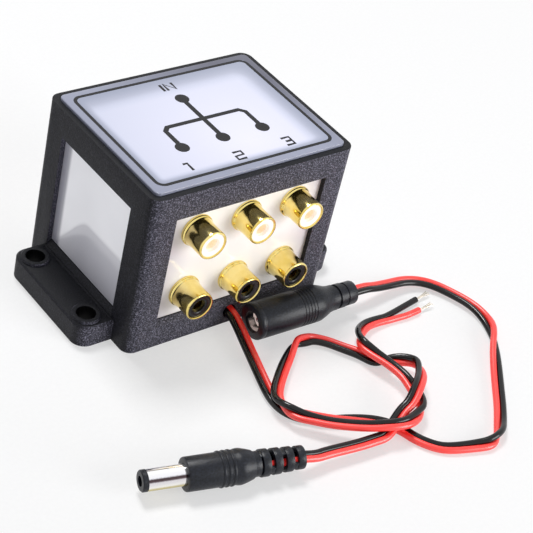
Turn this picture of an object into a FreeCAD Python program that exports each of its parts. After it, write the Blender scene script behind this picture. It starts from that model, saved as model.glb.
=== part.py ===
import FreeCAD, Part
import math
import os

# A phono distribution block: a moulded box frame with lit opal panels, one pair of input jacks at
# the back, three pairs of output jacks in front, a power lead with a socket and a loose power plug
# lead. Millimetres, +Z up, front towards -Y. The origin is on the floor under the box's centre.

V = FreeCAD.Vector
X_AXIS, Y_AXIS, Z_AXIS = V(1, 0, 0), V(0, 1, 0), V(0, 0, 1)

# Housing
body_width = 65.0
body_depth = 50.0
body_height = 50.0
wall = 3.0
edge_radius = 3.1
cavity_radius = 1.0
ledge_thickness = 1.8
ledge_width = 3.0

# Windows and their panels
recess = 1.5
front_window_width = 48.5
side_window_width = 32.6
window_head = 7.7
sill_height = 8.5
sill_lip = 0.4
sill_drop = 1.7
panel_thickness = 2.0
panel_lap = 2.4
panel_gap = 0.15

# Top plate
plate_margin = 2.0
plate_thickness = 3.0
plate_proud = 0.8
plate_radius = 1.5
plate_edge = 0.25
plate_gap = 0.1

# Mounting ears and their screw collars
ear_span = 85.4
ear_depth = 35.6
ear_height = 6.5
ear_radius = 4.0
ear_edge = 0.5
screw_spacing_x = 76.2
screw_spacing_y = 25.6
screw_hole = 5.4
collar_diameter = 8.0
collar_rise = 0.8
collar_edge = 0.3

# How far a cutting shape passes the face that it cuts
overrun = 1.0

# Bottom cover and the corner posts that it seats on
cover_thickness = 2.0
cover_inset = 0.3
cover_gap = 0.2
post_size = 5.0
post_height = 3.5
post_sink = 1.0

# Phono jacks, measured outwards along their axis from the panel's face
jack_pitch_x = 16.0
upper_row_drop = 6.25
lower_row_rise = 7.35
jack_reach = 7.7
shell_diameter = 8.3
shell_root_diameter = 8.7
shell_flange_diameter = 9.5
shell_flange = 0.9
shell_flange_rim = 0.55
shell_wall = 0.6
shell_straight = 4.4
thread_diameter = 8.0
thread_gap = 0.1
thread_spare = 0.6
insert_recess = 0.35
insert_overhang = 0.4
contact_bore = 3.2
contact_wall = 0.3
contact_depth = 7.0
contact_floor = 0.3
contact_recess = 1.0
tag_width = 1.6
tag_thickness = 0.5
tag_spare = 1.0
fit_gap = 0.05
nut_flats = 11.0
nut_thickness = 2.2

bus_diameter = 1.0
bus_overrun = 4.0

# Boards inside
board_thickness = 1.6
signal_board_side = 5.0
signal_board_end = 4.9
signal_board_back = 7.5
board_hole_gap = 0.2
led_board_width = 42.0
led_board_depth = 22.0
led_board_middle = 2.0
led_board_height = 9.0
standoff_inset = 2.8
standoff_size = 4.6
peg_size = 2.0
peg_rise = 1.0
peg_gap = 0.1
led_spacing_x = 25.0
led_spacing_y = 11.0
led_size = 5.0
led_height = 1.6
led_lens_size = 3.6
led_lens_height = 0.4

# Wires
conductor_diameter = 1.7
conductor_gap = 0.1
hook_wire_diameter = 1.3
ground_lead_run = 5.5
ground_lead_turn = 2.0
ground_lead_gap = 3.4
signal_lead_run = 4.0
signal_lead_drop = 3.0
power_wire_run = 5.5
power_wire_spread = 3.0
power_wire_reach = 4.0
cord_hole_x = 0.6
cord_hole_z = 4.0
cord_hole_diameter = 4.2
tie_width = 2.4
tie_band = 0.6
tie_stand_off = 0.3
tie_slack = 0.1
tie_head_length = 3.2
tie_head_rise = 0.6
tube_sides = 8
arc_share = 0.45

# The twin lead is two conductors side by side. Its plain tube has their joint section.
cord_diameter = conductor_diameter * math.sqrt(2.0)

# Power socket on its lead, measured along its axis from the mouth
socket_mouth = V(2.6, -32.4, 0.0)
socket_heading = -2.35
socket_diameter = 10.5
socket_bore = 6.7
socket_bore_depth = 10.5
socket_body_length = 21.5
socket_taper_length = 6.0
socket_neck_diameter = 7.2
socket_neck_length = 1.1
socket_groove = 1.0
socket_groove_diameter = 6.2
socket_ring_diameter = 7.0
socket_ring_length = 2.0
socket_end_diameter = 6.7
socket_end_length = 3.0
socket_edge = 0.5
sleeve_wall = 0.4
sleeve_set_back = 0.9
sleeve_slot = 2.6
sleeve_slot_floor = 2.0
socket_pin_diameter = 2.1
socket_pin_set_back = 1.8
socket_pin_point = 0.5
socket_lead_run = 7.6
rail_lead_run = 2.5

# Power plug on its lead, measured along its axis from the tip
plug_tip = V(-57.2, -67.7, 0.0)
plug_heading = -15.1
barrel_diameter = 5.5
barrel_wall = 0.55
barrel_length = 9.8
barrel_root = 4.0
barrel_root_diameter = 5.1
tip_ring_length = 1.4
tip_edge = 0.3
plug_contact_bore = 2.1
plug_contact_wall = 0.25
plug_contact_set_back = 1.0
plug_contact_floor = 0.6
plug_body_length = 19.4
plug_front_diameter = 8.6
plug_back_diameter = 8.8
plug_bulge_diameter = 9.1
plug_bulge_start = 14.4
plug_bulge_length = 0.8
plug_rest = 0.25
plug_shoulder_diameter = 7.1
plug_neck_diameter = 6.4
plug_neck_length = 1.8
relief_first_diameter = 7.0
relief_last_diameter = 6.0
relief_ring_length = 2.1
relief_slot = 1.1
relief_ring_count = 4
relief_bore = 4.2
relief_web = 1.8
relief_gap = 0.3
relief_sink = 0.15
plug_edge = 0.3
plug_lead_run = 1.0
plug_lead_rise = 0.35

# Split tails of the plug's lead
strand_diameter = 0.45
strand_length = 6.6
strand_shortening = 0.7
strand_count = 3
strand_pitch = 0.25
strand_fan = 7.0
bundle_diameter = 1.0
bundle_length = 1.2
bundle_overlap = 0.6
tail_lead = 2.4
black_tail_middle, black_tail_end = V(50.6, -41.3, 1.1), V(56.9, -41.0, 1.0)
red_tail_middle, red_tail_end = V(49.4, -43.6, 1.1), V(54.6, -45.4, 1.0)

# Places that follow from the sizes above
half_width = body_width / 2.0
half_depth = body_depth / 2.0
window_top = body_height - window_head
plate_floor = body_height + plate_proud - plate_thickness
cavity_top = plate_floor - ledge_thickness
cover_top = cover_inset + cover_thickness
panel_face = half_depth - recess
panel_back = panel_face - panel_thickness
jack_tail = panel_thickness + nut_thickness + thread_spare
upper_row = window_top - upper_row_drop
lower_row = sill_height + lower_row_rise
middle_row = (upper_row + lower_row) / 2.0
signal_board_width = 2.0 * (jack_pitch_x + signal_board_side)
signal_board_front = panel_back - signal_board_back
signal_board_rear = signal_board_front - board_thickness
tag_end = signal_board_rear - tag_spare
led_board_top = led_board_height + board_thickness
jack_columns = [(index + 1, index * jack_pitch_x - jack_pitch_x) for index in range(3)]

socket_relief_start = socket_body_length + socket_taper_length + socket_neck_length
socket_relief_length = 2.0 * socket_groove + socket_ring_length + socket_end_length
socket_length = socket_relief_start + socket_relief_length
plug_body_start = tip_ring_length + barrel_length
plug_body_end = plug_body_start + plug_body_length
relief_start = plug_body_end + relief_gap
relief_pitch = relief_ring_length + relief_slot
relief_length = relief_ring_count * relief_pitch - relief_slot
plug_length = relief_start + relief_length


def along(start, heading, distance, height, side=0.0):
    """A point beside an axis that runs level from start towards heading."""
    angle = math.radians(heading)
    forward = V(math.cos(angle), math.sin(angle), 0)
    left = V(-math.sin(angle), math.cos(angle), 0)
    return V(start.x, start.y, height) + forward * distance + left * side


socket_axis_z = socket_diameter / 2.0
plug_axis_z = plug_back_diameter / 2.0 + plug_rest
lead_entry = V(cord_hole_x, wall - half_depth, cord_hole_z)
lead_outside = V(cord_hole_x, -half_depth - rail_lead_run, cord_hole_z)
socket_end = along(socket_mouth, socket_heading, socket_length, socket_axis_z)
socket_before = along(socket_mouth, socket_heading, socket_length + socket_lead_run, socket_axis_z)
relief_floor = along(plug_tip, plug_heading, plug_body_end, plug_axis_z)
relief_middle = along(plug_tip, plug_heading, plug_body_end + relief_length / 2.0, plug_axis_z)
relief_mouth = along(plug_tip, plug_heading, plug_length + plug_lead_run,
                     plug_axis_z + plug_lead_rise)

# Routes of the two leads: straight runs that the tube rounds off, from the hole in the front rail
# to the socket, and from the plug to the place where the conductors part
socket_route = [
    lead_entry, lead_outside, V(-0.7, -34.2, 2.1), V(-3.4, -41.4, 1.4), V(-6.6, -49.0, 1.3),
    V(-8.9, -57.0, 1.3), V(-8.6, -65.2, 1.3), V(-4.6, -72.0, 1.3), V(0.8, -77.8, 1.3),
    V(7.2, -82.8, 1.3), V(14.6, -87.4, 1.3), V(23.0, -91.6, 1.3), V(32.3, -94.2, 1.3),
    V(40.8, -93.4, 1.3), V(47.2, -87.6, 1.3), V(53.2, -79.4, 1.3), V(59.4, -71.6, 1.3),
    V(67.2, -62.6, 1.3), V(71.0, -53.2, 1.3), V(69.0, -43.4, 1.3), V(62.5, -36.2, 1.3),
    V(54.0, -33.4, 2.0), socket_before, socket_end]
plug_route = [
    relief_floor, relief_middle, relief_mouth, V(-8.8, -80.8, 5.4), V(-1.8, -81.4, 6.6),
    V(5.6, -81.0, 6.6), V(11.8, -79.8, 3.0), V(18.2, -77.6, 1.3), V(23.6, -75.6, 3.4),
    V(28.6, -73.6, 6.5), V(34.8, -70.6, 6.3), V(39.8, -66.2, 3.2), V(41.8, -60.4, 1.4),
    V(39.0, -55.0, 1.3), V(33.0, -53.2, 1.3), V(27.2, -51.0, 1.3), V(22.8, -46.4, 1.3),
    V(17.4, -42.8, 1.3), V(11.2, -42.6, 1.3), V(5.6, -45.8, 1.3), V(0.8, -50.6, 1.3),
    V(-3.2, -55.8, 1.3), V(-3.4, -62.2, 1.3), V(0.6, -67.4, 1.3), V(6.0, -71.6, 2.6),
    V(11.4, -75.1, 5.8), V(17.2, -78.0, 6.7), V(23.4, -79.9, 5.4), V(29.0, -78.2, 2.2),
    V(32.4, -73.0, 1.3), V(32.6, -66.4, 2.0), V(31.4, -59.8, 5.6), V(30.4, -53.6, 6.7),
    V(29.8, -47.4, 5.0), V(32.4, -42.0, 2.8), V(37.8, -40.4, 1.5), V(43.2, -41.4, 1.3)]


def box(x0, x1, y0, y1, z0, z1):
    """A plain box between two corners."""
    return Part.makeBox(x1 - x0, y1 - y0, z1 - z0, V(x0, y0, z0))


def block(x, y, size, z0, z1):
    """A square pillar centred on (x, y)."""
    return box(x - size / 2.0, x + size / 2.0, y - size / 2.0, y + size / 2.0, z0, z1)


def upright_edges(shape):
    """The straight edges of a shape that run along Z."""
    found = []
    for edge in shape.Edges:
        bounds = edge.BoundBox
        if bounds.ZLength > 1e-6 and bounds.XLength < 1e-6 and bounds.YLength < 1e-6:
            found.append(edge)
    return found


def top_edges(shape):
    """The edges that lie in a shape's top face."""
    top = shape.BoundBox.ZMax
    return [edge for edge in shape.Edges if edge.BoundBox.ZMin > top - 1e-6]


def rounded_box(width, depth, z0, z1, radius):
    """A box centred on the Z axis whose four upright edges are rounded."""
    plain = box(-width / 2.0, width / 2.0, -depth / 2.0, depth / 2.0, z0, z1)
    return plain.makeFillet(radius, upright_edges(plain))


def rod(diameter, start, axis, length):
    """A cylinder from start along axis."""
    return Part.makeCylinder(diameter / 2.0, length, start, axis)


def turned(outline):
    """Revolves a closed outline of (x, radius) points about X."""
    points = [V(x, radius, 0) for x, radius in outline]
    return Part.Face(Part.makePolygon(points + points[:1])).revolve(V(0, 0, 0), X_AXIS, 360)


def set_down(shape, start, heading, height):
    """Moves a shape built along X to its start and turns it to its heading."""
    placed = shape.copy()
    placed.rotate(V(0, 0, 0), Z_AXIS, heading)
    placed.translate(V(start.x, start.y, height))
    return placed


def cut_all(shape, tools):
    """Takes every tool away from a shape."""
    return shape.cut(Part.makeCompound(tools))


def turned_about_z(shape, angle):
    """A copy of a shape turned about the Z axis."""
    copy = shape.copy()
    copy.rotate(V(0, 0, 0), Z_AXIS, angle)
    return copy


def corner_places(spacing_x, spacing_y):
    """The four corners of a rectangle centred on the origin."""
    return [(sx * spacing_x / 2.0, sy * spacing_y / 2.0) for sx in (-1, 1) for sy in (-1, 1)]


def section(centre, heading, diameter):
    """A wire's section with flat sides and the area of a circle of its diameter."""
    turn = 2.0 * math.pi / tube_sides
    corner = diameter / 2.0 * math.sqrt(turn / math.sin(turn))
    level = Z_AXIS if abs(heading.z) < 0.9 else Y_AXIS
    side = heading.cross(level).normalize()
    up = side.cross(heading)
    angles = [(index + 0.5) * turn for index in range(tube_sides)]
    ring = [centre + side * (corner * math.sin(a)) + up * (corner * math.cos(a)) for a in angles]
    return Part.makePolygon(ring + ring[:1])


def wire(start, end, diameter):
    """A straight wire between two points."""
    run = end - start
    heading = V(run.x, run.y, run.z).normalize()
    return Part.Face(section(start, heading, diameter)).extrude(run)


def tube(name, points, diameter):
    """A tube along straight runs joined by arcs as large as the two runs at each point allow."""
    edges = []
    radii = []
    last = points[0]
    for before, corner, after in zip(points, points[1:], points[2:]):
        run_in, run_out = corner - before, after - corner
        reach = arc_share * min(run_in.Length, run_out.Length)
        turn = run_in.getAngle(run_out)
        radius = reach / math.tan(turn / 2.0)
        run_in.normalize()
        run_out.normalize()
        start, end = corner - run_in * reach, corner + run_out * reach
        inward = (run_out - run_in).normalize()
        middle = corner + inward * (radius / math.cos(turn / 2.0) - radius)
        edges.append(Part.LineSegment(last, start).toShape())
        edges.append(Part.Arc(start, middle, end).toShape())
        radii.append(radius)
        last = end
    edges.append(Part.LineSegment(last, points[-1]).toShape())
    path = Part.Wire(edges)
    ring = section(points[0], (points[1] - points[0]).normalize(), diameter)
    solid = path.makePipeShell([ring], True, False)
    share = solid.Volume / (path.Length * math.pi * diameter ** 2 / 4.0)
    print("%s: length %.1f, radii %s" % (name, path.Length, " ".join("%.1f" % r for r in radii)))
    print("%s: volume over section times length %.4f" % (name, share))
    return solid


def window_cut(width, face):
    """The opening through a wall at y = -face, with its sloping sill, and the panel's seat."""
    outside = -face - overrun
    seat = -face + recess
    slope = sill_drop / (recess - sill_lip)
    sill = [
        V(0, seat, sill_height), V(0, seat - sill_lip, sill_height),
        V(0, outside, sill_height - slope * (seat - sill_lip - outside)),
        V(0, outside, window_top), V(0, seat, window_top)]
    opening = Part.Face(Part.makePolygon(sill + sill[:1])).extrude(V(width, 0, 0))
    opening.translate(V(-width / 2.0, 0, 0))
    lap = panel_lap + panel_gap
    pocket = box(-width / 2.0 - lap, width / 2.0 + lap, seat, -face + wall + panel_thickness,
                 sill_height - lap, window_top + lap)
    return opening.fuse(pocket)


def make_ears():
    """The slab whose two ends are the ears, with a raised collar round each screw hole."""
    slab = rounded_box(ear_span, ear_depth, 0, ear_height, ear_radius)
    slab = slab.makeChamfer(ear_edge, top_edges(slab))
    for x, y in corner_places(screw_spacing_x, screw_spacing_y):
        collar = rod(collar_diameter, V(x, y, 0), Z_AXIS, ear_height + collar_rise)
        slab = slab.fuse(collar.makeChamfer(collar_edge, top_edges(collar)))
    return slab


def make_posts():
    """Square posts moulded into the four corners, with the bottom cover against their feet."""
    spacing_x = body_width - 2 * wall - post_size
    spacing_y = body_depth - 2 * wall - post_size
    return [block(x + math.copysign(post_sink, x), y + math.copysign(post_sink, y),
                  post_size + 2 * post_sink, cover_top, cover_top + post_height)
            for x, y in corner_places(spacing_x, spacing_y)]


def make_housing():
    """The moulded frame: walls with four windows, a rim for the top plate, ears and posts."""
    frame = rounded_box(body_width, body_depth, 0, body_height, edge_radius).fuse(make_ears())
    inner_width, inner_depth = body_width - 2 * wall, body_depth - 2 * wall
    seat_margin = 2 * (plate_margin - plate_gap)
    ledge_margin = 2 * (plate_margin + ledge_width)
    tools = [
        rounded_box(inner_width, inner_depth, -overrun, cavity_top, cavity_radius),
        rounded_box(body_width - seat_margin, body_depth - seat_margin, plate_floor,
                    body_height + overrun, plate_radius + plate_gap),
        rounded_box(body_width - ledge_margin, body_depth - ledge_margin, cavity_top - overrun,
                    plate_floor + overrun, cavity_radius),
        window_cut(front_window_width, half_depth),
        turned_about_z(window_cut(front_window_width, half_depth), 180),
        turned_about_z(window_cut(side_window_width, half_width), 90),
        turned_about_z(window_cut(side_window_width, half_width), -90),
        rod(cord_hole_diameter, V(cord_hole_x, -half_depth - overrun, cord_hole_z), Y_AXIS,
            wall + 2 * overrun)]
    tools += [rod(screw_hole, V(x, y, -overrun), Z_AXIS, ear_height + collar_rise + 2 * overrun)
              for x, y in corner_places(screw_spacing_x, screw_spacing_y)]
    for tool in tools:
        frame = frame.cut(tool)
    return frame.fuse(make_posts()).removeSplitter()


def standoff_places():
    """Where the LED board rests on the bottom cover."""
    inset = 2.0 * standoff_inset
    return [(x, y + led_board_middle)
            for x, y in corner_places(led_board_width - inset, led_board_depth - inset)]


def make_bottom_cover():
    """The floor plate with four standoffs, each with a peg for the LED board."""
    cover = rounded_box(body_width - 2 * (wall + cover_gap), body_depth - 2 * (wall + cover_gap),
                        cover_inset, cover_top, cavity_radius)
    for x, y in standoff_places():
        cover = cover.fuse(block(x, y, standoff_size, cover_inset, led_board_height))
        cover = cover.fuse(block(x, y, peg_size, cover_inset, led_board_top + peg_rise))
    return cover.removeSplitter()


def make_top_plate():
    """The opal plate that stands proud of its rim, with its top edge eased."""
    plate = rounded_box(body_width - 2 * plate_margin, body_depth - 2 * plate_margin,
                        plate_floor, plate_floor + plate_thickness, plate_radius)
    return plate.makeChamfer(plate_edge, top_edges(plate))


def make_panel(width, face, holes):
    """A panel in its seat at y = -face, drilled for the jacks at (x, z)."""
    seat = -face + recess
    panel = box(-width / 2.0 - panel_lap, width / 2.0 + panel_lap, seat, seat + panel_thickness,
                sill_height - panel_lap, window_top + panel_lap)
    if not holes:
        return panel
    return cut_all(panel, [rod(thread_diameter + 2 * thread_gap, V(x, seat - overrun, z), Y_AXIS,
                               panel_thickness + 2 * overrun) for x, z in holes])


def make_shell():
    """A jack's plated shell: thread, flange, and a tapering barrel with an eased lip."""
    barrel, root = shell_diameter / 2.0, shell_root_diameter / 2.0
    flange, thread = shell_flange_diameter / 2.0, thread_diameter / 2.0
    bore = barrel - shell_wall
    lip = shell_wall / 2.0
    return turned([
        (-jack_tail, bore), (-jack_tail, thread), (0, thread), (0, flange),
        (shell_flange_rim, flange), (shell_flange, root), (jack_reach - shell_straight, barrel),
        (jack_reach - lip, barrel), (jack_reach, barrel - lip), (jack_reach, bore)])


def make_insert():
    """The moulded insulator that fills a shell and holds the centre contact."""
    front = jack_reach - insert_recess
    back = -jack_tail - insert_overhang
    outside = shell_diameter / 2.0 - shell_wall - fit_gap
    inside = contact_bore / 2.0 + contact_wall + fit_gap
    return turned([(back, inside), (back, outside), (front, outside), (front, inside)])


def make_contact():
    """The plated centre contact: a tube that takes the plug's pin, and a solder tag behind."""
    front = jack_reach - insert_recess - contact_recess
    inside = contact_bore / 2.0
    floor = front - contact_depth
    back = floor - contact_floor
    cup = turned([(back, 0), (back, inside + contact_wall), (front, inside + contact_wall),
                  (front, inside), (floor, inside), (floor, 0)])
    tag = box(tag_end - panel_face, back, -tag_thickness / 2.0, tag_thickness / 2.0,
              -tag_width / 2.0, tag_width / 2.0)
    return cup.fuse(tag)


def at_jack(shape, x, z, side):
    """Sets a piece built along +X into a jack's place: side -1 is the front, 1 the rear."""
    placed = shape.copy()
    placed.rotate(V(0, 0, 0), Z_AXIS, 90.0 * side)
    placed.translate(V(x, side * panel_face, z))
    return placed


def make_nut():
    """A hexagon nut for the jack's thread."""
    corner = nut_flats / 2.0 / math.cos(math.pi / 6.0)
    start = -(panel_thickness + nut_thickness)
    ring = [V(start, corner * math.cos(k * math.pi / 3.0), corner * math.sin(k * math.pi / 3.0))
            for k in range(7)]
    nut = Part.Face(Part.makePolygon(ring)).extrude(V(nut_thickness, 0, 0))
    return nut.cut(rod(thread_diameter + thread_gap, V(start - overrun, 0, 0), X_AXIS,
                       nut_thickness + 2 * overrun))


def all_jacks():
    """Name, place and side of every jack: three output pairs in front, the input pair behind."""
    jacks = []
    for number, x in jack_columns:
        jacks.append(("out%d_upper" % number, x, upper_row, -1))
        jacks.append(("out%d_lower" % number, x, lower_row, -1))
    jacks.append(("in_upper", 0.0, upper_row, 1))
    jacks.append(("in_lower", 0.0, lower_row, 1))
    return jacks


def make_ground_bus():
    """Bare wires soldered to the nuts: two rails and a link in front, a link behind."""
    lane = panel_back - nut_thickness / 2.0
    rise = (nut_flats + bus_diameter) / 2.0
    low, high = lower_row + rise, upper_row - rise
    end = jack_pitch_x + bus_overrun
    link_x = jack_pitch_x / 2.0
    front = wire(V(-end, -lane, high), V(end, -lane, high), bus_diameter)
    front = front.fuse(wire(V(-end, -lane, low), V(end, -lane, low), bus_diameter))
    front = front.fuse(wire(V(link_x, -lane, low), V(link_x, -lane, high), bus_diameter))
    nut_top, nut_foot = lower_row + nut_flats / 2.0, upper_row - nut_flats / 2.0
    return [front, wire(V(0, lane, nut_top), V(0, lane, nut_foot), bus_diameter)]


def make_ground_lead():
    """The insulated wire from the rear link round the signal board to the front rail."""
    lane = panel_back - nut_thickness / 2.0
    rail_z = upper_row - (nut_flats + bus_diameter) / 2.0
    start = lane - bus_diameter / 2.0
    side = signal_board_width / 2.0 + ground_lead_gap
    return tube("ground_lead", [
        V(0, start, middle_row), V(0, start - ground_lead_run, middle_row),
        V(-side, -ground_lead_turn, rail_z), V(-side, -lane, rail_z),
        V(-jack_pitch_x - bus_overrun, -lane, rail_z)], hook_wire_diameter)


def make_signal_board():
    """The board behind the output jacks, slotted for their six solder tags."""
    board = box(-signal_board_width / 2.0, signal_board_width / 2.0, -signal_board_front,
                -signal_board_rear, lower_row - signal_board_end, upper_row + signal_board_end)
    reach_x = tag_thickness / 2.0 + board_hole_gap
    reach_z = tag_width / 2.0 + board_hole_gap
    return cut_all(board, [box(x - reach_x, x + reach_x, -signal_board_front - overrun,
                               overrun - signal_board_rear, z - reach_z, z + reach_z)
                           for _, x in jack_columns for z in (upper_row, lower_row)])


def make_signal_lead(name, row, side):
    """The wire from an input jack's tag to the signal board."""
    x = side * jack_pitch_x / 2.0
    z = row + math.copysign(signal_lead_drop, middle_row - row)
    return tube(name, [
        V(0, tag_end, row), V(0, tag_end - signal_lead_run, row),
        V(x, signal_lead_run - signal_board_rear, z), V(x, -signal_board_rear, z)],
        hook_wire_diameter)


def make_led_board():
    """The board that carries the LEDs above the bottom cover."""
    board = box(-led_board_width / 2.0, led_board_width / 2.0,
                led_board_middle - led_board_depth / 2.0, led_board_middle + led_board_depth / 2.0,
                led_board_height, led_board_top)
    return cut_all(board, [block(x, y, peg_size + 2 * peg_gap, led_board_height - overrun,
                                 led_board_top + overrun) for x, y in standoff_places()])


def make_leds():
    """Four square LEDs on the board, each with its low lens."""
    leds = []
    top = led_board_top + led_height
    for x, y in corner_places(led_spacing_x, led_spacing_y):
        y += led_board_middle
        led = block(x, y, led_size, led_board_top, top)
        leds.append(led.fuse(block(x, y, led_lens_size, led_board_top, top + led_lens_height)))
    return leds


def make_power_wire(name, side):
    """One conductor of the lead, from the wall through the tie and up under the LED board."""
    offset = side * (conductor_diameter + conductor_gap) / 2.0
    edge = led_board_middle - led_board_depth / 2.0
    x, y, z = cord_hole_x + offset, wall - half_depth, cord_hole_z
    far_x, far_y = cord_hole_x + side * power_wire_spread, edge + power_wire_reach
    return tube(name, [V(x, y, z), V(x, y + power_wire_run, z), V(far_x, far_y, z),
                       V(far_x, far_y, led_board_height)], conductor_diameter)


def make_cord_tie():
    """The tie round the two conductors just inside the wall, too wide to pass the hole."""
    start = wall - half_depth + tie_stand_off
    end = start + tie_width
    inner_x = conductor_diameter + conductor_gap / 2.0 + tie_slack
    inner_z = conductor_diameter / 2.0 + tie_slack
    x, z = cord_hole_x, cord_hole_z
    band = box(x - inner_x - tie_band, x + inner_x + tie_band, start, end,
               z - inner_z - tie_band, z + inner_z + tie_band)
    head = box(x + inner_x, x + inner_x + tie_head_length, start, end + tie_head_rise,
               z - inner_z, z + inner_z)
    space = box(x - inner_x, x + inner_x, start - overrun, end + 2 * overrun,
                z - inner_z, z + inner_z)
    return band.fuse(head).cut(space)


def make_socket_body():
    """The socket's moulded sleeve: mouth, grip, taper and a grooved strain relief."""
    outside, bore = socket_diameter / 2.0, socket_bore / 2.0
    neck, groove = socket_neck_diameter / 2.0, socket_groove_diameter / 2.0
    ring, end = socket_ring_diameter / 2.0, socket_end_diameter / 2.0
    first_wall = socket_relief_start + socket_groove
    second = first_wall + socket_ring_length
    second_wall = second + socket_groove
    outline = [(0, bore), (0, outside - socket_edge), (socket_edge, outside),
               (socket_body_length, outside), (socket_body_length + socket_taper_length, neck),
               (socket_relief_start, neck), (socket_relief_start, groove), (first_wall, groove),
               (first_wall, ring), (second, ring), (second, groove), (second_wall, groove),
               (second_wall, end), (socket_length - socket_edge, end),
               (socket_length, end - socket_edge), (socket_length, 0),
               (socket_bore_depth, 0), (socket_bore_depth, bore)]
    return set_down(turned(outline), socket_mouth, socket_heading, socket_axis_z)


def make_socket_sleeve():
    """The socket's spring sleeve, split along its far side."""
    outside = socket_bore / 2.0 - fit_gap
    sleeve = turned([
        (sleeve_set_back, outside - sleeve_wall), (sleeve_set_back, outside),
        (socket_bore_depth, outside), (socket_bore_depth, outside - sleeve_wall)])
    slot = box(sleeve_set_back - overrun, socket_bore_depth - sleeve_slot_floor,
               0, outside + overrun, -sleeve_slot / 2.0, sleeve_slot / 2.0)
    return set_down(sleeve.cut(slot), socket_mouth, socket_heading, socket_axis_z)


def make_socket_pin():
    """The socket's centre pin with its tapered point."""
    radius = socket_pin_diameter / 2.0
    start, shoulder = socket_pin_set_back, socket_pin_set_back + socket_pin_point
    pin = turned([(start, 0), (start, radius - socket_pin_point), (shoulder, radius),
                  (socket_bore_depth, radius), (socket_bore_depth, 0)])
    return set_down(pin, socket_mouth, socket_heading, socket_axis_z)


def make_plug_grip():
    """The plug's moulded grip: a sleeve, a bulge and a taper, on the barrel's root."""
    start, end = plug_body_start, plug_body_end
    front, back = plug_front_diameter / 2.0, plug_back_diameter / 2.0
    bulge, neck = plug_bulge_diameter / 2.0, plug_neck_diameter / 2.0
    root = barrel_root_diameter / 2.0 + fit_gap
    swell = start + plug_bulge_start
    return turned([
        (start, root), (start, front - plug_edge), (start + plug_edge, front),
        (swell - plug_bulge_length, back), (swell, bulge), (swell + plug_bulge_length, bulge),
        (end - plug_neck_length, plug_shoulder_diameter / 2.0), (end, neck), (end, 0),
        (start + barrel_root, 0), (start + barrel_root, root)])


def make_plug_body():
    """The plug's grip and its strain relief: rings on an open core, tied by webs in turn."""
    body = make_plug_grip()
    bore = relief_bore / 2.0
    step = (relief_first_diameter - relief_last_diameter) / 2.0 / (relief_ring_count - 1)
    gap_start = plug_body_end
    for index in range(relief_ring_count):
        ring_start = relief_start + index * relief_pitch
        ring_end = ring_start + relief_ring_length
        radius = relief_first_diameter / 2.0 - step * index
        body = body.fuse(turned([(ring_start, bore), (ring_start, radius),
                                 (ring_end, radius), (ring_end, bore)]))
        for angle in (0, 180):
            web = box(gap_start - relief_sink, ring_start + relief_sink, -relief_web / 2.0,
                      relief_web / 2.0, bore, radius - relief_sink)
            web.rotate(V(0, 0, 0), X_AXIS, angle + 90 * (index % 2))
            body = body.fuse(web)
        gap_start = ring_end
    return set_down(body.removeSplitter(), plug_tip, plug_heading, plug_axis_z)


def make_plug_barrel():
    """The plug's plated outer contact, with a slimmer root inside the grip."""
    outside, root = barrel_diameter / 2.0, barrel_root_diameter / 2.0
    inside = outside - barrel_wall
    end = plug_body_start + barrel_root
    barrel = turned([(tip_ring_length, inside), (tip_ring_length, outside),
                     (plug_body_start, outside), (plug_body_start, root), (end, root),
                     (end, inside)])
    return set_down(barrel, plug_tip, plug_heading, plug_axis_z)


def make_plug_insulator():
    """The plug's insulator: the black ring at the tip and the liner inside the barrel."""
    outside = barrel_diameter / 2.0
    liner = outside - barrel_wall - fit_gap
    inside = plug_contact_bore / 2.0 + plug_contact_wall + fit_gap
    end = plug_body_start + barrel_root
    piece = turned([(0, inside), (0, outside - tip_edge), (tip_edge, outside),
                    (tip_ring_length, outside), (tip_ring_length, liner), (end, liner),
                    (end, inside)])
    return set_down(piece, plug_tip, plug_heading, plug_axis_z)


def make_plug_contact():
    """The plug's inner contact, a tube that takes a socket's pin."""
    inside = plug_contact_bore / 2.0
    outside = inside + plug_contact_wall
    start = tip_ring_length + plug_contact_set_back
    end = plug_body_start + barrel_root
    piece = turned([(start, inside), (start, outside), (end, outside), (end, 0),
                    (end - plug_contact_floor, 0), (end - plug_contact_floor, inside)])
    return set_down(piece, plug_tip, plug_heading, plug_axis_z)


def make_tail(name, side, middle, end):
    """One conductor past the split, lying on the floor."""
    last, before = plug_route[-1], plug_route[-2]
    forward = (last - before).normalize()
    left = V(-forward.y, forward.x, 0).normalize()
    start = last + left * (side * (conductor_diameter + conductor_gap) / 2.0)
    return tube(name, [start, start + forward * tail_lead, middle, end], conductor_diameter)


def make_strands(before, end):
    """The stripped copper strands at a tail's end, fanned a little."""
    forward = (end - before).normalize()
    aside = V(-forward.y, forward.x, 0)
    bundle = wire(end, end + forward * bundle_length, bundle_diameter)
    root = end + forward * bundle_overlap
    for index in range(strand_count):
        place = index - (strand_count - 1) / 2.0
        angle = math.radians(strand_fan * place)
        aim = (V(forward.x, forward.y, 0) * math.cos(angle) + aside * math.sin(angle)).normalize()
        length = strand_length - index * strand_shortening
        start = root + aside * (strand_pitch * place)
        bundle = bundle.fuse(wire(start, start + aim * length, strand_diameter))
    return bundle


def save(name, shapes):
    """Writes one node's STEP file."""
    shapes = shapes if isinstance(shapes, list) else [shapes]
    solids = [solid for shape in shapes for solid in shape.Solids]
    whole = solids[0] if len(solids) == 1 else Part.makeCompound(solids)
    if not whole.isValid() or any(solid.Volume <= 0 for solid in solids):
        raise ValueError("%s is not a sound solid" % name)
    whole.exportStep("parts/%s.step" % name)
    print("%s: %d solid(s), %.1f cubic mm" % (name, len(solids), sum(s.Volume for s in solids)))


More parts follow.
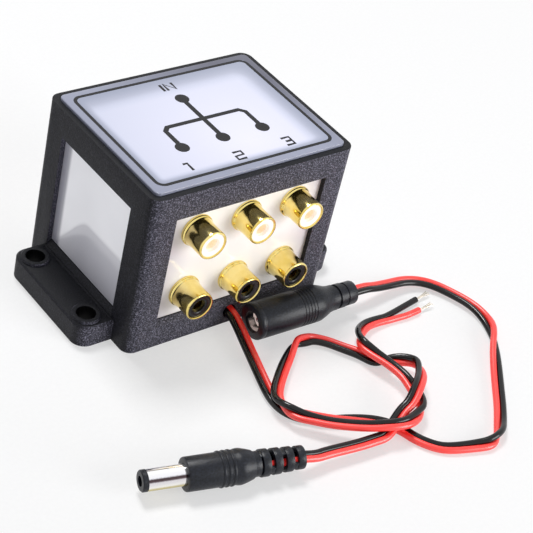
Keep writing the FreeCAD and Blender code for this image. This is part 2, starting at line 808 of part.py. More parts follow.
def build_box():
    """The housing with its cover, plate and four panels."""
    front_holes = [(x, z) for _, x in jack_columns for z in (upper_row, lower_row)]
    rear_holes = [(0.0, upper_row), (0.0, lower_row)]
    save("housing", make_housing())
    save("bottom_cover", make_bottom_cover())
    save("top_plate", make_top_plate())
    save("front_panel", make_panel(front_window_width, half_depth, front_holes))
    rear = make_panel(front_window_width, half_depth, rear_holes)
    save("rear_panel", turned_about_z(rear, 180))
    side = make_panel(side_window_width, half_width, [])
    save("left_panel", turned_about_z(side, -90))
    save("right_panel", turned_about_z(side, 90))


def build_jacks():
    """The eight jacks with their nuts, and the wiring between them."""
    shell, insert, contact, nut = make_shell(), make_insert(), make_contact(), make_nut()
    nuts = []
    for name, x, z, side in all_jacks():
        save(name + "_shell", at_jack(shell, x, z, side))
        save(name + "_insert", at_jack(insert, x, z, side))
        save(name + "_contact", at_jack(contact, x, z, side))
        nuts.append(at_jack(nut, x, z, side))
    save("jack_nuts", nuts)
    save("ground_bus", make_ground_bus())
    save("ground_lead", make_ground_lead())
    save("signal_board", make_signal_board())
    save("left_signal_lead", make_signal_lead("left_signal_lead", upper_row, 1))
    save("right_signal_lead", make_signal_lead("right_signal_lead", lower_row, -1))


def build_power():
    """The LED board and its supply, the socket lead and the loose plug lead."""
    save("led_board", make_led_board())
    save("leds", make_leds())
    save("black_power_wire", make_power_wire("black_power_wire", -1))
    save("red_power_wire", make_power_wire("red_power_wire", 1))
    save("cord_tie", make_cord_tie())
    save("socket_lead", tube("socket_lead", socket_route, cord_diameter))
    save("socket_body", make_socket_body())
    save("socket_sleeve", make_socket_sleeve())
    save("socket_pin", make_socket_pin())
    save("plug_lead", tube("plug_lead", plug_route, cord_diameter))
    save("plug_body", make_plug_body())
    save("plug_barrel", make_plug_barrel())
    save("plug_insulator", make_plug_insulator())
    save("plug_contact", make_plug_contact())
    save("black_tail", make_tail("black_tail", 1, black_tail_middle, black_tail_end))
    save("red_tail", make_tail("red_tail", -1, red_tail_middle, red_tail_end))
    save("bare_strands", [make_strands(black_tail_middle, black_tail_end),
                          make_strands(red_tail_middle, red_tail_end)])


os.makedirs("parts", exist_ok=True)
build_box()
build_jacks()
build_power()
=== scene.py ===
import bpy
import math
from mathutils import Matrix, Vector


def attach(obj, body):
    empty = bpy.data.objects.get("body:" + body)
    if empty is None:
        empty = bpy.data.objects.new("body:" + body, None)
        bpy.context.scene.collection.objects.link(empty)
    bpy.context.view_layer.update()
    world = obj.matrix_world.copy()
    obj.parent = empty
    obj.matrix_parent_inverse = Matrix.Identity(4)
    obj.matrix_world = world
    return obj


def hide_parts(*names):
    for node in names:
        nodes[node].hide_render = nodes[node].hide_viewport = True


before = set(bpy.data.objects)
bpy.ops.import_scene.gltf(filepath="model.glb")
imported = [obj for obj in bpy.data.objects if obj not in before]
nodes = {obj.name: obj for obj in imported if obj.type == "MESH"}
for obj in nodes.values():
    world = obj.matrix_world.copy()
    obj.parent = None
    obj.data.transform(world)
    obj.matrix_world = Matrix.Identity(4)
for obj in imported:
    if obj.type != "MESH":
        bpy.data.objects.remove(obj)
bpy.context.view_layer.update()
mm = 0.001
print("frame loaded:", len(nodes), "nodes")


def hexColour(text):
    # sRGB hex to the linear colour that the shader wants
    values = [int(text[i:i + 2], 16) / 255 for i in (1, 3, 5)]
    linear = [v / 12.92 if v <= 0.04045 else ((v + 0.055) / 1.055) ** 2.4 for v in values]
    return (*linear, 1.0)


def perMetre(millimetres):
    # a noise scale whose features are about this wide
    return 1000 / millimetres


def setMode(mode):
    bpy.ops.object.mode_set(mode=mode)


def deselectAll():
    if bpy.context.object and bpy.context.object.mode != "OBJECT":
        setMode("OBJECT")
    bpy.ops.object.select_all(action="DESELECT")


def makeActive(piece):
    deselectAll()
    piece.select_set(True)
    bpy.context.view_layer.objects.active = piece


def applyPlace(piece):
    makeActive(piece)
    bpy.ops.object.transform_apply(location=True, rotation=True, scale=True)


def applyModifier(piece, kind, **settings):
    makeActive(piece)
    modifier = piece.modifiers.new(kind.lower(), kind)
    for key, value in settings.items():
        setattr(modifier, key, value)
    bpy.ops.object.modifier_apply(modifier=modifier.name)


def smoothByAngle(piece, degrees=35):
    makeActive(piece)
    bpy.ops.object.shade_smooth_by_angle(angle=math.radians(degrees))


def startEdit(piece):
    makeActive(piece)
    setMode("EDIT")
    bpy.ops.mesh.select_all(action="SELECT")


def endEdit(piece):
    # every face turned outwards, then back to object mode
    bpy.ops.mesh.select_all(action="SELECT")
    bpy.ops.mesh.normals_make_consistent(inside=False)
    setMode("OBJECT")
    smoothByAngle(piece)


def selectWhere(piece, kind, wanted):
    # wanted looks at a vertex's place, or at both ends of an edge; the piece is left in edit mode
    startEdit(piece)
    bpy.ops.mesh.select_mode(type=kind)
    bpy.ops.mesh.select_all(action="DESELECT")
    setMode("OBJECT")
    vertices = piece.data.vertices
    if kind == "VERT":
        for vertex in vertices:
            vertex.select = wanted(vertex.co)
    else:
        for edge in piece.data.edges:
            edge.select = wanted(*(vertices[i].co for i in edge.vertices))
    setMode("EDIT")


def finishPiece(piece, material, slot, replaced=()):
    if material:
        piece.data.materials.clear()
        piece.data.materials.append(material)
    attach(piece, "root")
    if replaced:
        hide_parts(*replaced)
    return piece


def copyPiece(piece, name, location, rotation):
    # a copy with its own mesh, set in its place, with the place in the mesh
    twin = piece.copy()
    twin.data = piece.data.copy()
    twin.name = name
    twin.data.name = name
    bpy.context.collection.objects.link(twin)
    twin.location = location
    twin.rotation_euler = rotation
    applyPlace(twin)
    return twin


def turnPiece(name, rings, steps=72, closed=True):
    # drawn up from a circle along Z, ring by ring: (height, radius) in millimetres
    leastRadius, mergeWithin = 0.01, 0.025
    deselectAll()
    height, radius = rings[0][0], max(rings[0][1], leastRadius)
    bpy.ops.mesh.primitive_circle_add(vertices=steps, radius=radius * mm, location=(0, 0, height * mm))
    piece = bpy.context.object
    piece.name = name
    applyPlace(piece)
    startEdit(piece)
    for nextHeight, nextRadius in rings[1:] + (rings[:1] if closed else []):
        bpy.ops.mesh.extrude_region_move(
            TRANSFORM_OT_translate={"value": (0, 0, (nextHeight - height) * mm)})
        nextRadius = max(nextRadius, leastRadius)
        scale = nextRadius / radius
        bpy.ops.transform.resize(value=(scale, scale, 1), center_override=(0, 0, nextHeight * mm))
        height, radius = nextHeight, nextRadius
    bpy.ops.mesh.select_all(action="SELECT")
    bpy.ops.mesh.remove_doubles(threshold=mergeWithin * mm)
    endEdit(piece)
    return piece


def joinPieces(pieces, name):
    deselectAll()
    for piece in pieces:
        piece.select_set(True)
    bpy.context.view_layer.objects.active = pieces[0]
    bpy.ops.object.join()
    pieces[0].name = name
    return pieces[0]


def mergedCopy(node, name, bevel, segments):
    # a CAD node's triangles made whole again, with its hard edges eased
    mergeWithin, flatWithin, hardEdge, smoothUnder = 0.002, 0.8, 50, 30
    piece = nodes[node].copy()
    piece.data = nodes[node].data.copy()
    piece.name = name
    piece.parent = None
    bpy.context.collection.objects.link(piece)
    piece.hide_render = False
    startEdit(piece)
    bpy.ops.mesh.remove_doubles(threshold=mergeWithin * mm)
    bpy.ops.mesh.dissolve_limited(angle_limit=math.radians(flatWithin))
    bpy.ops.mesh.customdata_custom_splitnormals_clear()
    setMode("OBJECT")
    applyModifier(piece, "BEVEL", width=bevel * mm, segments=segments, limit_method="ANGLE",
                  angle_limit=math.radians(hardEdge))
    smoothByAngle(piece, smoothUnder)
    return piece


def layAlong(piece, place, heading):
    # tipped from Z to lie along its heading, with its zero at the place in millimetres
    piece.rotation_euler = (0, math.radians(90), math.radians(heading))
    piece.location = Vector(place) * mm
    applyPlace(piece)


def ribRings(values):
    # the same small profile again and again: (distance, share of the rib's height)
    return [(values["ribStart"] + index * values["ribPitch"] + along,
             values["ribRadius"] + share * values["ribHeight"])
            for index in range(values["ribCount"]) for along, share in values["ribProfile"]]


# solved from the block's corners in the photograph
cameraSettings = {
    # place in metres, angles in degrees, lens and sensor in millimetres
    "place": (-0.247391, -0.276449, 0.289519),
    "azimuth": -45.728, "elevation": 37.180, "roll": 14.063,
    "lens": 113.2, "sensor": 36.0, "clipStart": 0.01,
}


def buildCamera():
    a, e, r = (math.radians(cameraSettings[key]) for key in ("azimuth", "elevation", "roll"))
    back = Vector((math.sin(a) * math.cos(e), -math.cos(a) * math.cos(e), math.sin(e)))
    right = Vector((math.cos(a), math.sin(a), 0))
    up = back.cross(right)
    turnedRight = right * math.cos(r) + up * math.sin(r)
    turnedUp = up * math.cos(r) - right * math.sin(r)
    data = bpy.data.cameras.new("photoCamera")
    data.lens = cameraSettings["lens"]
    data.sensor_width = cameraSettings["sensor"]
    data.clip_start = cameraSettings["clipStart"]
    camera = bpy.data.objects.new("photoCamera", data)
    bpy.context.collection.objects.link(camera)
    camera.matrix_world = (Matrix.Translation(cameraSettings["place"])
                           @ Matrix((turnedRight, turnedUp, back)).transposed().to_4x4())
    bpy.context.scene.camera = camera


lampSettings = {
    # place, aim and size in metres, power in watts
    "aim": (0, -0.03, 0.01),
    "lamps": {
        "rearKey": {"place": (0.03, 0.30, 0.80), "size": 0.24, "power": 4.9},
        "frontFill": {"place": (0.36, -0.62, 0.20), "size": 0.40, "power": 3.5},
    },
}


def buildLamps():
    for name, values in lampSettings["lamps"].items():
        data = bpy.data.lights.new(name, "AREA")
        data.shape = "SQUARE"
        data.size = values["size"]
        data.energy = values["power"]
        lamp = bpy.data.objects.new(name, data)
        bpy.context.collection.objects.link(lamp)
        lamp.location = values["place"]
        aim = Vector(lampSettings["aim"]) - Vector(values["place"])
        lamp.rotation_euler = aim.to_track_quat("-Z", "Y").to_euler()


def link(tree, source, socket):
    # source is an output, or a node for its first output
    tree.links.new(source.outputs[0] if isinstance(source, bpy.types.Node) else source, socket)


def addNode(tree, kind, settings=None, links=None):
    # settings: socket or attribute values, and a ramp's stops; links: socket name to its source
    node = tree.nodes.new("ShaderNode" + kind)
    for key, value in (settings or {}).items():
        if key == "stops":
            elements = node.color_ramp.elements
            while len(elements) < len(value):
                elements.new(0.5)
            for element, (position, colour) in zip(elements, value):
                element.position = position
                element.color = hexColour(colour)
        elif isinstance(key, int) or (key in node.inputs and not hasattr(node, key)):
            node.inputs[key].default_value = value
        else:
            setattr(node, key, value)
    for key, source in (links or {}).items():
        link(tree, source, node.inputs[key])
    return node


def startMaterial(name, settings):
    material = bpy.data.materials.new(name)
    material.use_nodes = True
    tree = material.node_tree
    shader = tree.nodes["Principled BSDF"]
    for key, value in settings.items():
        shader.inputs[key].default_value = value
    return material, tree, shader, addNode(tree, "TexCoord").outputs


def joinFinish(tree, shader, colour, pattern, roughness, spread, strength, depth):
    # the colour, and one pattern that drives the gloss and the relief; depth in millimetres
    gloss = addNode(tree, "MapRange", {"To Min": roughness - spread, "To Max": roughness + spread},
                    {"Value": pattern})
    relief = addNode(tree, "Bump", {"Strength": strength, "Distance": depth * mm}, {"Height": pattern})
    link(tree, colour, shader.inputs["Base Color"])
    link(tree, gloss, shader.inputs["Roughness"])
    link(tree, relief.outputs["Normal"], shader.inputs["Normal"])


def mouldedPlastic(name, low, high, grain, relief, roughness, spread, specular=0.5, ior=1.5):
    # fine grain in its colour, gloss and surface; grain is its width in millimetres
    material, tree, shader, place = startMaterial(name, {"IOR": ior, "Specular IOR Level": specular})
    noise = addNode(tree, "TexNoise", {"Scale": perMetre(grain), "Detail": 3.0, "Roughness": 0.6},
                    {"Vector": place["Object"]})
    ramp = addNode(tree, "ValToRGB", {"stops": [(0.36, low), (0.66, high)]}, {"Fac": noise})
    joinFinish(tree, shader, ramp, noise, roughness, spread, relief, 0.1)
    return material


def sandTexturedPlasticPaintedLight(name):
    # spark-eroded ABS: flats that face up stay near black, and upright faces get pale grains as painted light
    values = {
        "grain": 0.38, "flat": [(0.38, "#0a0b0f"), (0.64, "#16171d")],
        "upright": [(0.36, "#222228"), (0.52, "#45444f"), (0.70, "#9492a4")],
        # how much painted light the long faces and the short ones get, and the tilt that starts and fills it
        "paintedLightShares": {"Y": 1.0, "X": 0.12}, "tilt": (0.30, 0.92),
    }
    material, tree, shader, place = startMaterial(name, {"IOR": 1.54, "Specular IOR Level": 0.14})
    noise = addNode(tree, "TexNoise", {"Scale": perMetre(values["grain"]), "Detail": 2.0, "Roughness": 0.75},
                    {"Vector": place["Object"]})
    flat, upright = (addNode(tree, "ValToRGB", {"stops": values[key]}, {"Fac": noise})
                     for key in ("flat", "upright"))
    # painted light: faces turned along Y, and a little along X, take the paler grains as if lit
    normal = addNode(tree, "SeparateXYZ", links={"Vector": place["Normal"]})
    paintedLightShares = []
    for axis, most in values["paintedLightShares"].items():
        tilt = addNode(tree, "Math", {"operation": "ABSOLUTE"}, {0: normal.outputs[axis]})
        paintedLightShares.append(addNode(tree, "MapRange", {
            "From Min": values["tilt"][0], "From Max": values["tilt"][1], "To Max": most,
            "interpolation_type": "SMOOTHSTEP"}, {"Value": tilt}))
    share = addNode(tree, "Math", {"operation": "MAXIMUM"}, {0: paintedLightShares[0], 1: paintedLightShares[1]})
    blend = addNode(tree, "Mix", {"data_type": "RGBA"}, {0: share, 6: flat, 7: upright})
    joinFinish(tree, shader, blend.outputs[2], noise, roughness=0.5, spread=0.1, strength=0.9, depth=0.16)
    return material


def extrudedVinyl(name, low, high, roughness, specular=0.55, glow="#000000"):
    # even colour under a waxy skin; glow is painted light, an even emission that keeps the shaded side of the
    # strand bright
    lineWidth = 0.35  # the die's faint lines along the strand
    material, tree, shader, place = startMaterial(name, {
        "IOR": 1.53, "Specular IOR Level": specular, "Emission Color": hexColour(glow),
        "Emission Strength": 1.0})
    along = addNode(tree, "Mapping", {"Scale": (1.0, 0.12, 1.0)}, {"Vector": place["UV"]})
    girth = 2 * math.pi * strandSettings["radius"]
    lines = addNode(tree, "TexNoise", {"Scale": girth / lineWidth, "Detail": 2.0}, {"Vector": along})
    ramp = addNode(tree, "ValToRGB", {"stops": [(0.35, low), (0.68, high)]}, {"Fac": lines})
    joinFinish(tree, shader, ramp, lines, roughness, spread=0.05, strength=0.12, depth=0.05)
    return material


def platedMetal(name, low, high, roughness, turning):
    # its colour drifts over 4 mm, and fine marks from turning, as wide as given, scatter the highlight
    material, tree, shader, place = startMaterial(name, {"Metallic": 1.0})
    drift = addNode(tree, "TexNoise", {"Scale": perMetre(4.0), "Detail": 2.0}, {"Vector": place["Object"]})
    ramp = addNode(tree, "ValToRGB", {"stops": [(0.35, low), (0.65, high)]}, {"Fac": drift})
    fine = addNode(tree, "TexNoise", {"Scale": perMetre(turning), "Detail": 3.0}, {"Vector": place["Object"]})
    joinFinish(tree, shader, ramp, fine, roughness, roughness * 0.35, strength=0.03, depth=0.02)
    return material


def metalWithPaintedReflection(name, stops, roughness, turning):
    # a bright round bar with painted reflection: the stops go from its underside to its top, painted bands
    # for the darker room that it would mirror
    waverBy = 0.08  # how far the turning marks shift the bands, of a height from -1 to 1
    material, tree, shader, place = startMaterial(name, {"Metallic": 1.0})
    normal = addNode(tree, "SeparateXYZ", links={"Vector": place["Normal"]})
    fine = addNode(tree, "TexNoise", {"Scale": perMetre(turning), "Detail": 3.0}, {"Vector": place["Object"]})
    waver = addNode(tree, "Math", {"operation": "MULTIPLY_ADD", 1: waverBy},
                    {0: fine, 2: normal.outputs["Z"]})
    height = addNode(tree, "MapRange", {"From Min": waverBy / 2 - 1, "From Max": waverBy / 2 + 1},
                     {"Value": waver})
    ramp = addNode(tree, "ValToRGB", {"stops": stops}, {"Fac": height})
    joinFinish(tree, shader, ramp, fine, roughness, roughness * 0.3, strength=0.03, depth=0.02)
    return material


def litPlastic(name, low, high, glow, roughness):
    # a translucent or brightly lit skin: its own pale colour, clouded over 2 mm, and light on top
    material, tree, shader, place = startMaterial(name, {
        "IOR": 1.49, "Emission Color": hexColour(glow), "Emission Strength": 1.0})
    cloud = addNode(tree, "TexNoise", {"Scale": perMetre(2.0), "Detail": 2.0}, {"Vector": place["Object"]})
    ramp = addNode(tree, "ValToRGB", {"stops": [(0.35, low), (0.65, high)]}, {"Fac": cloud})
    joinFinish(tree, shader, ramp, cloud, roughness, spread=0.04, strength=0.04, depth=0.05)
    return material


# the strands' size is up here because the vinyl's lines are scaled to their girth
strandSettings = {"radius": 0.9, "spacing": 0.88, "sides": 18}

# spark-eroded ABS with painted light on its upright faces: the real grit is about 0.15 mm and is drawn at
# 0.38 mm so that it shows
sandTexturedAbsPaintedLight = sandTexturedPlasticPaintedLight("sandTexturedAbsPaintedLight")
# painted shade: the ears' bores get a darker, smoother black than the rest of the housing, for the shade
# inside them
paintedBoreShadeAbs = mouldedPlastic("paintedBoreShadeAbs", "#060607", "#0c0c0e", grain=1.0, relief=0.05, roughness=0.40,
                           spread=0.05, specular=0.12, ior=1.54)
# soft PVC over the plug and socket: moulded, dark blue-grey, dull with fine leathery specks
softPvc = mouldedPlastic("softPvc", "#0c0e14", "#1e222c", grain=0.50, relief=0.70, roughness=0.34,
                         spread=0.07, specular=0.28, ior=1.53)
# moulded polypropylene in the lower jacks: black and smooth
blackPolypropylene = mouldedPlastic("blackPolypropylene", "#0b0b0d", "#17171a", grain=1.0, relief=0.08,
                                    roughness=0.24, spread=0.05, specular=0.4, ior=1.49)
# moulded polypropylene in the upper jacks: white, and lit through from behind
litPolypropylene = litPlastic("litPolypropylene", "#ece7e0", "#f6f3ee", glow="#969089", roughness=0.22)
# extruded vinyl of the leads: waxy, the red bright and even with a glow of painted light, the black faintly
# warm
redVinyl = extrudedVinyl("redVinyl", "#f62c24", "#ff3d34", roughness=0.36, specular=0.95, glow="#640807")
blackVinyl = extrudedVinyl("blackVinyl", "#050406", "#0d0a0d", roughness=0.18, specular=0.34)
# vinyl of the hidden signal lead: off-white and waxy
whiteVinyl = mouldedPlastic("whiteVinyl", "#d9d6cf", "#e9e7e1", grain=1.6, relief=0.10, roughness=0.36,
                            spread=0.05, ior=1.53)
# nylon tie, moulded: pale and slightly waxy
tieNylon = mouldedPlastic("tieNylon", "#d6d2c6", "#e6e3da", grain=1.2, relief=0.10, roughness=0.34,
                          spread=0.05, ior=1.53)
# solder-masked glass epoxy: green, glossy, with the weave just showing through
maskedFibreboard = mouldedPlastic("maskedFibreboard", "#0f4a2c", "#1c6b42", grain=0.8, relief=0.25,
                                  roughness=0.30, spread=0.06, ior=1.55)
# the lamp's white ceramic package under a yellow phosphor lens
ledPackage = mouldedPlastic("ledPackage", "#e8dfae", "#f6f1d2", grain=0.7, relief=0.10, roughness=0.30,
                            spread=0.06, ior=1.52)
# screen-printed ink: almost black, matt, a little uneven
screenInk = mouldedPlastic("screenInk", "#141416", "#202023", grain=0.5, relief=0.3, roughness=0.55,
                           spread=0.1, specular=0.25)

# gold plated over turned brass: pale lemon and mirror-like
goldPlate = platedMetal("goldPlate", "#e9cf72", "#f6e297", roughness=0.12, turning=0.4)
# the same plating where light from inside reaches it: pale tan
litGoldPlate = litPlastic("litGoldPlate", "#ead2b6", "#f4e4d2", glow="#9c8472", roughness=0.3)
# nickel plated over turned brass: neutral and bright, with a soft turned grain
nickelPlate = platedMetal("nickelPlate", "#c6c6c6", "#e4e4e3", roughness=0.18, turning=0.3)
# the plug's barrel, nickel plated and polished, with painted reflection: bright above, with a dark stripe of
# painted reflection along its side
barrelNickelPaintedReflection = metalWithPaintedReflection("barrelNickelPaintedReflection", [
    (0.0, "#a09468"), (0.38, "#e4d79f"), (0.50, "#f4f2ee"), (0.72, "#dcd8dc"), (0.775, "#5a4d50"),
    (0.85, "#4a3c40"), (0.895, "#f4f4fa"), (1.0, "#ffffff")], roughness=0.12, turning=0.3)
# the spring leaf: nickel with a painted highlight of the daylight and a painted reflection of the red lead
# beside it
leafNickelPaintedGlint = litPlastic("leafNickelPaintedGlint", "#b9a39d", "#fffaf8", glow="#a3948f", roughness=0.25)
# solder-tinned copper: pale, a little cloudy
tinnedCopper = platedMetal("tinnedCopper", "#cfc8bd", "#efe8dc", roughness=0.36, turning=0.2)
# bare drawn brass of the plug's inner contact: warm, half bright
drawnBrass = platedMetal("drawnBrass", "#c89c45", "#dab766", roughness=0.24, turning=0.2)


def opalTopAcrylic():
    # cast opal acrylic, lit from inside: brightest towards the front, with painted shade under its rim that
    # is deepest at the rear and right, hard gloss
    values = {
        "glowCentre": (6, -12, 50.8), "glowReach": 46, "glowDrop": 0.42,
        # distance in millimetres from the middle to the printed line, and how wide the dim edge of painted
        # shade is, widest at the rear and right
        "lines": {"X": ((-28.0, 3.2), (28.0, 8.0)), "Y": ((-20.5, 3.2), (20.5, 9.0))}, "lineEdge": 0.2,
        "colour": [(0.0, "#a4aabf"), (0.5, "#c4c7d8"), (1.0, "#cfcfda")],
        "glow": [(0.0, "#000000"), (0.30, "#2c2d38"), (0.62, "#666a7a"), (1.0, "#908f9f")],
        # painted shade: the rim outside the line gets darker from the front left to the rear right, over 40
        # mm
        "rim": [(0.0, "#a1a5b9"), (1.0, "#5c5d70")], "rimReach": 40,
    }
    material, tree, shader, place = startMaterial("opalTopAcrylic", {"IOR": 1.49, "Emission Strength": 1.0})
    split = addNode(tree, "SeparateXYZ", links={"Vector": place["Object"]})
    away = addNode(tree, "VectorMath", {
        "operation": "DISTANCE", 1: [v * mm for v in values["glowCentre"]]}, {0: place["Object"]})
    level = addNode(tree, "MapRange", {
        "From Max": values["glowReach"] * mm, "To Min": 1.0, "To Max": 1 - values["glowDrop"]},
        {"Value": away.outputs["Value"]})
    inside = None
    for axis, lines in values["lines"].items():
        for line, spread in lines:
            inwards = 1 if line < 0 else -1
            fade, edge = (addNode(tree, "MapRange", {
                "From Min": line * mm, "From Max": (line + inwards * width) * mm,
                "interpolation_type": kind}, {"Value": split.outputs[axis]})
                for width, kind in ((spread, "SMOOTHSTEP"), (values["lineEdge"], "LINEAR")))
            level = addNode(tree, "Math", {"operation": "MULTIPLY"}, {0: level, 1: fade})
            inside = addNode(tree, "Math", {"operation": "MULTIPLY"},
                             {0: inside, 1: edge}) if inside else edge
    colour, glow = (addNode(tree, "ValToRGB", {"stops": values[key]}, {"Fac": level})
                    for key in ("colour", "glow"))
    across = addNode(tree, "Math", {"operation": "ADD"}, {0: split.outputs["X"], 1: split.outputs["Y"]})
    turned = addNode(tree, "MapRange", {"From Max": values["rimReach"] * mm}, {"Value": across})
    rim = addNode(tree, "ValToRGB", {"stops": values["rim"]}, {"Fac": turned})
    blend = addNode(tree, "Mix", {"data_type": "RGBA"}, {0: inside, 6: rim, 7: colour})
    link(tree, glow, shader.inputs["Emission Color"])
    wave = addNode(tree, "TexNoise", {"Scale": perMetre(14.0), "Detail": 1.0}, {"Vector": place["Object"]})
    joinFinish(tree, shader, blend.outputs[2], wave, roughness=0.10, spread=0.03, strength=0.04, depth=0.1)
    return material


def opalWallAcrylic(name, colour, glow, shade=None, fade=None):
    # the upright opal panels: even white with a slow cloud 15 mm wide, painted shade, and hard gloss
    material, tree, shader, place = startMaterial(name, {"IOR": 1.49, "Emission Strength": 1.0})
    cloud = addNode(tree, "TexNoise", {"Scale": perMetre(15.0), "Detail": 1.0}, {"Vector": place["Object"]})
    level = addNode(tree, "MapRange", {"From Min": 0.3, "From Max": 0.7, "To Min": 0.9}, {"Value": cloud})
    split = addNode(tree, "SeparateXYZ", links={"Vector": place["Object"]})
    if shade:
        # painted shade: its upper edge climbs from the rear corner and runs level towards the front
        climb = addNode(tree, "MapRange", {
            "From Min": shade["rear"] * mm, "From Max": shade["level"] * mm, "To Min": shade["foot"] * mm,
            "To Max": shade["top"] * mm, "interpolation_type": "SMOOTHSTEP"}, {"Value": split.outputs["Y"]})
        over = addNode(tree, "Math", {"operation": "SUBTRACT"}, {0: split.outputs["Z"], 1: climb})
        soft = addNode(tree, "MapRange", {
            "From Min": shade["edge"][0] * mm, "From Max": shade["edge"][1] * mm,
            "interpolation_type": "SMOOTHSTEP"}, {"Value": over})
        deep = addNode(tree, "MapRange", {
            "From Min": -shade["depth"] * mm, "From Max": 0.0, "To Min": shade["deep"][0],
            "To Max": shade["deep"][1]}, {"Value": over})
        lit = addNode(tree, "Math", {"operation": "MAXIMUM"}, {0: soft, 1: deep})
        # painted shade: a narrow dark strip at the rear of the window
        strip = addNode(tree, "MapRange", {
            "From Min": shade["strip"][0] * mm, "From Max": shade["strip"][1] * mm,
            "To Min": shade["stripLevel"]}, {"Value": split.outputs["Y"]})
        share = addNode(tree, "Math", {"operation": "MULTIPLY"}, {0: lit, 1: strip})
    else:
        # painted shade: the light falls off towards both ends of the panel
        out = addNode(tree, "Math", {"operation": "ABSOLUTE"}, {0: split.outputs["X"]})
        share = addNode(tree, "MapRange", {
            "From Min": fade[0] * mm, "From Max": fade[1] * mm, "To Min": 1.0, "To Max": 0.0,
            "interpolation_type": "SMOOTHSTEP"}, {"Value": out})
    source = addNode(tree, "Math", {"operation": "MULTIPLY"}, {0: level, 1: share})
    base, light = (addNode(tree, "ValToRGB", {"stops": stops}, {"Fac": source})
                   for stops in (colour, glow))
    link(tree, light, shader.inputs["Emission Color"])
    joinFinish(tree, shader, base, cloud, roughness=0.12, spread=0.03, strength=0.04, depth=0.1)
    return material


# cast opal acrylic, lit from inside: the front and rear panels behind their jacks are warm white with painted
# shade towards the ends, the side ones a little cooler, and the left one has painted shade and painted
# reflection of what stands by it
opalTop = opalTopAcrylic()
opalFront = opalWallAcrylic("opalFrontAcrylic", [(0.0, "#d6d0d8"), (1.0, "#f2f0f0")],
                            [(0.0, "#343036"), (1.0, "#757370")], fade=(14, 27))
opalPlain = opalWallAcrylic("opalPlainAcrylic", [(0.0, "#c9cad2"), (1.0, "#dadbdf")],
                            [(0.0, "#55555a"), (1.0, "#7d7d80")], fade=(40, 50))
# the painted shade climbs from foot to top between rear and level; edge is how soft its rim is, and deep is
# how much light is left from its depth up to its rim; all lengths in millimetres
opalSide = opalWallAcrylic(
    "opalSideAcrylic", [(0.0, "#a09fab"), (1.0, "#dadade")], [(0.0, "#242328"), (1.0, "#929295")],
    shade={"rear": 16.3, "level": 1.0, "foot": 9.0, "top": 22.5, "edge": (-1.0, 2.2), "depth": 20,
           "deep": (0.08, 0.52), "strip": (13.6, 12.5), "stripLevel": 0.10})


floorSettings = {
    # metres; share is how much of the paper is plain white up to shadowReach from the middle
    "size": 6, "drop": 0.00005, "share": 0.54, "shadowReach": 0.16, "whiteFrom": 0.40,
    "paper": [(0.3, "#f8f8f8"), (0.7, "#fcfcfc")], "skyColour": "#e8eaf0", "sky": 0.27,
}


def seenDirectly(tree):
    # 1 for the camera, in mirrors and through glass, and 0 for the light that falls on things
    rays = addNode(tree, "LightPath").outputs
    seen = rays["Is Camera Ray"]
    for kind in ("Is Glossy Ray", "Is Transmission Ray"):
        seen = addNode(tree, "Math", {"operation": "MAXIMUM"}, {0: seen, 1: rays[kind]})
    return seen


def buildFloorMaterial():
    # white paper sweep with fibres 1.1 mm wide: it is seen near white, and it keeps the shadows
    material, tree, shader, place = startMaterial("paperSweep", {"Roughness": 0.9, "Specular IOR Level": 0.1})
    fibres = addNode(tree, "TexNoise", {"Scale": perMetre(1.1), "Detail": 2.0}, {"Vector": place["Object"]})
    paper = addNode(tree, "ValToRGB", {"stops": floorSettings["paper"]}, {"Fac": fibres})
    link(tree, paper, shader.inputs["Base Color"])
    # the shadows stay near the object, and the paper goes to plain white further out
    away = addNode(tree, "VectorMath", {"operation": "LENGTH"}, {0: place["Object"]})
    fade = addNode(tree, "MapRange", {
        "From Min": floorSettings["shadowReach"], "From Max": floorSettings["whiteFrom"],
        "To Min": floorSettings["share"], "interpolation_type": "SMOOTHSTEP"},
        {"Value": away.outputs["Value"]})
    share = addNode(tree, "Math", {"operation": "MULTIPLY"}, {0: seenDirectly(tree), 1: fade})
    white = addNode(tree, "Emission", {"Color": (1, 1, 1, 1)})
    mixed = addNode(tree, "MixShader", links={
        0: share, 1: shader, 2: white})
    link(tree, mixed, tree.nodes["Material Output"].inputs["Surface"])
    return material


def buildFloor():
    deselectAll()
    bpy.ops.mesh.primitive_plane_add(size=floorSettings["size"], location=(0, 0, -floorSettings["drop"]))
    floor = bpy.context.object
    floor.name = "paperFloor"
    applyPlace(floor)
    floor.data.materials.append(buildFloorMaterial())
    world = bpy.data.worlds.new("studio")
    bpy.context.scene.world = world
    world.use_nodes = True
    tree = world.node_tree
    soft = tree.nodes["Background"]
    soft.inputs["Color"].default_value = hexColour(floorSettings["skyColour"])
    soft.inputs["Strength"].default_value = floorSettings["sky"]
    backdrop = addNode(tree, "Background", {"Color": (1, 1, 1, 1)})
    mixed = addNode(tree, "MixShader", links={
        0: seenDirectly(tree), 1: soft, 2: backdrop})
    link(tree, mixed, tree.nodes["World Output"].inputs["Surface"])


buildCamera()
buildLamps()
buildFloor()
bpy.context.scene.view_settings.view_transform = "Standard"
print("camera, floor and lamps ready")


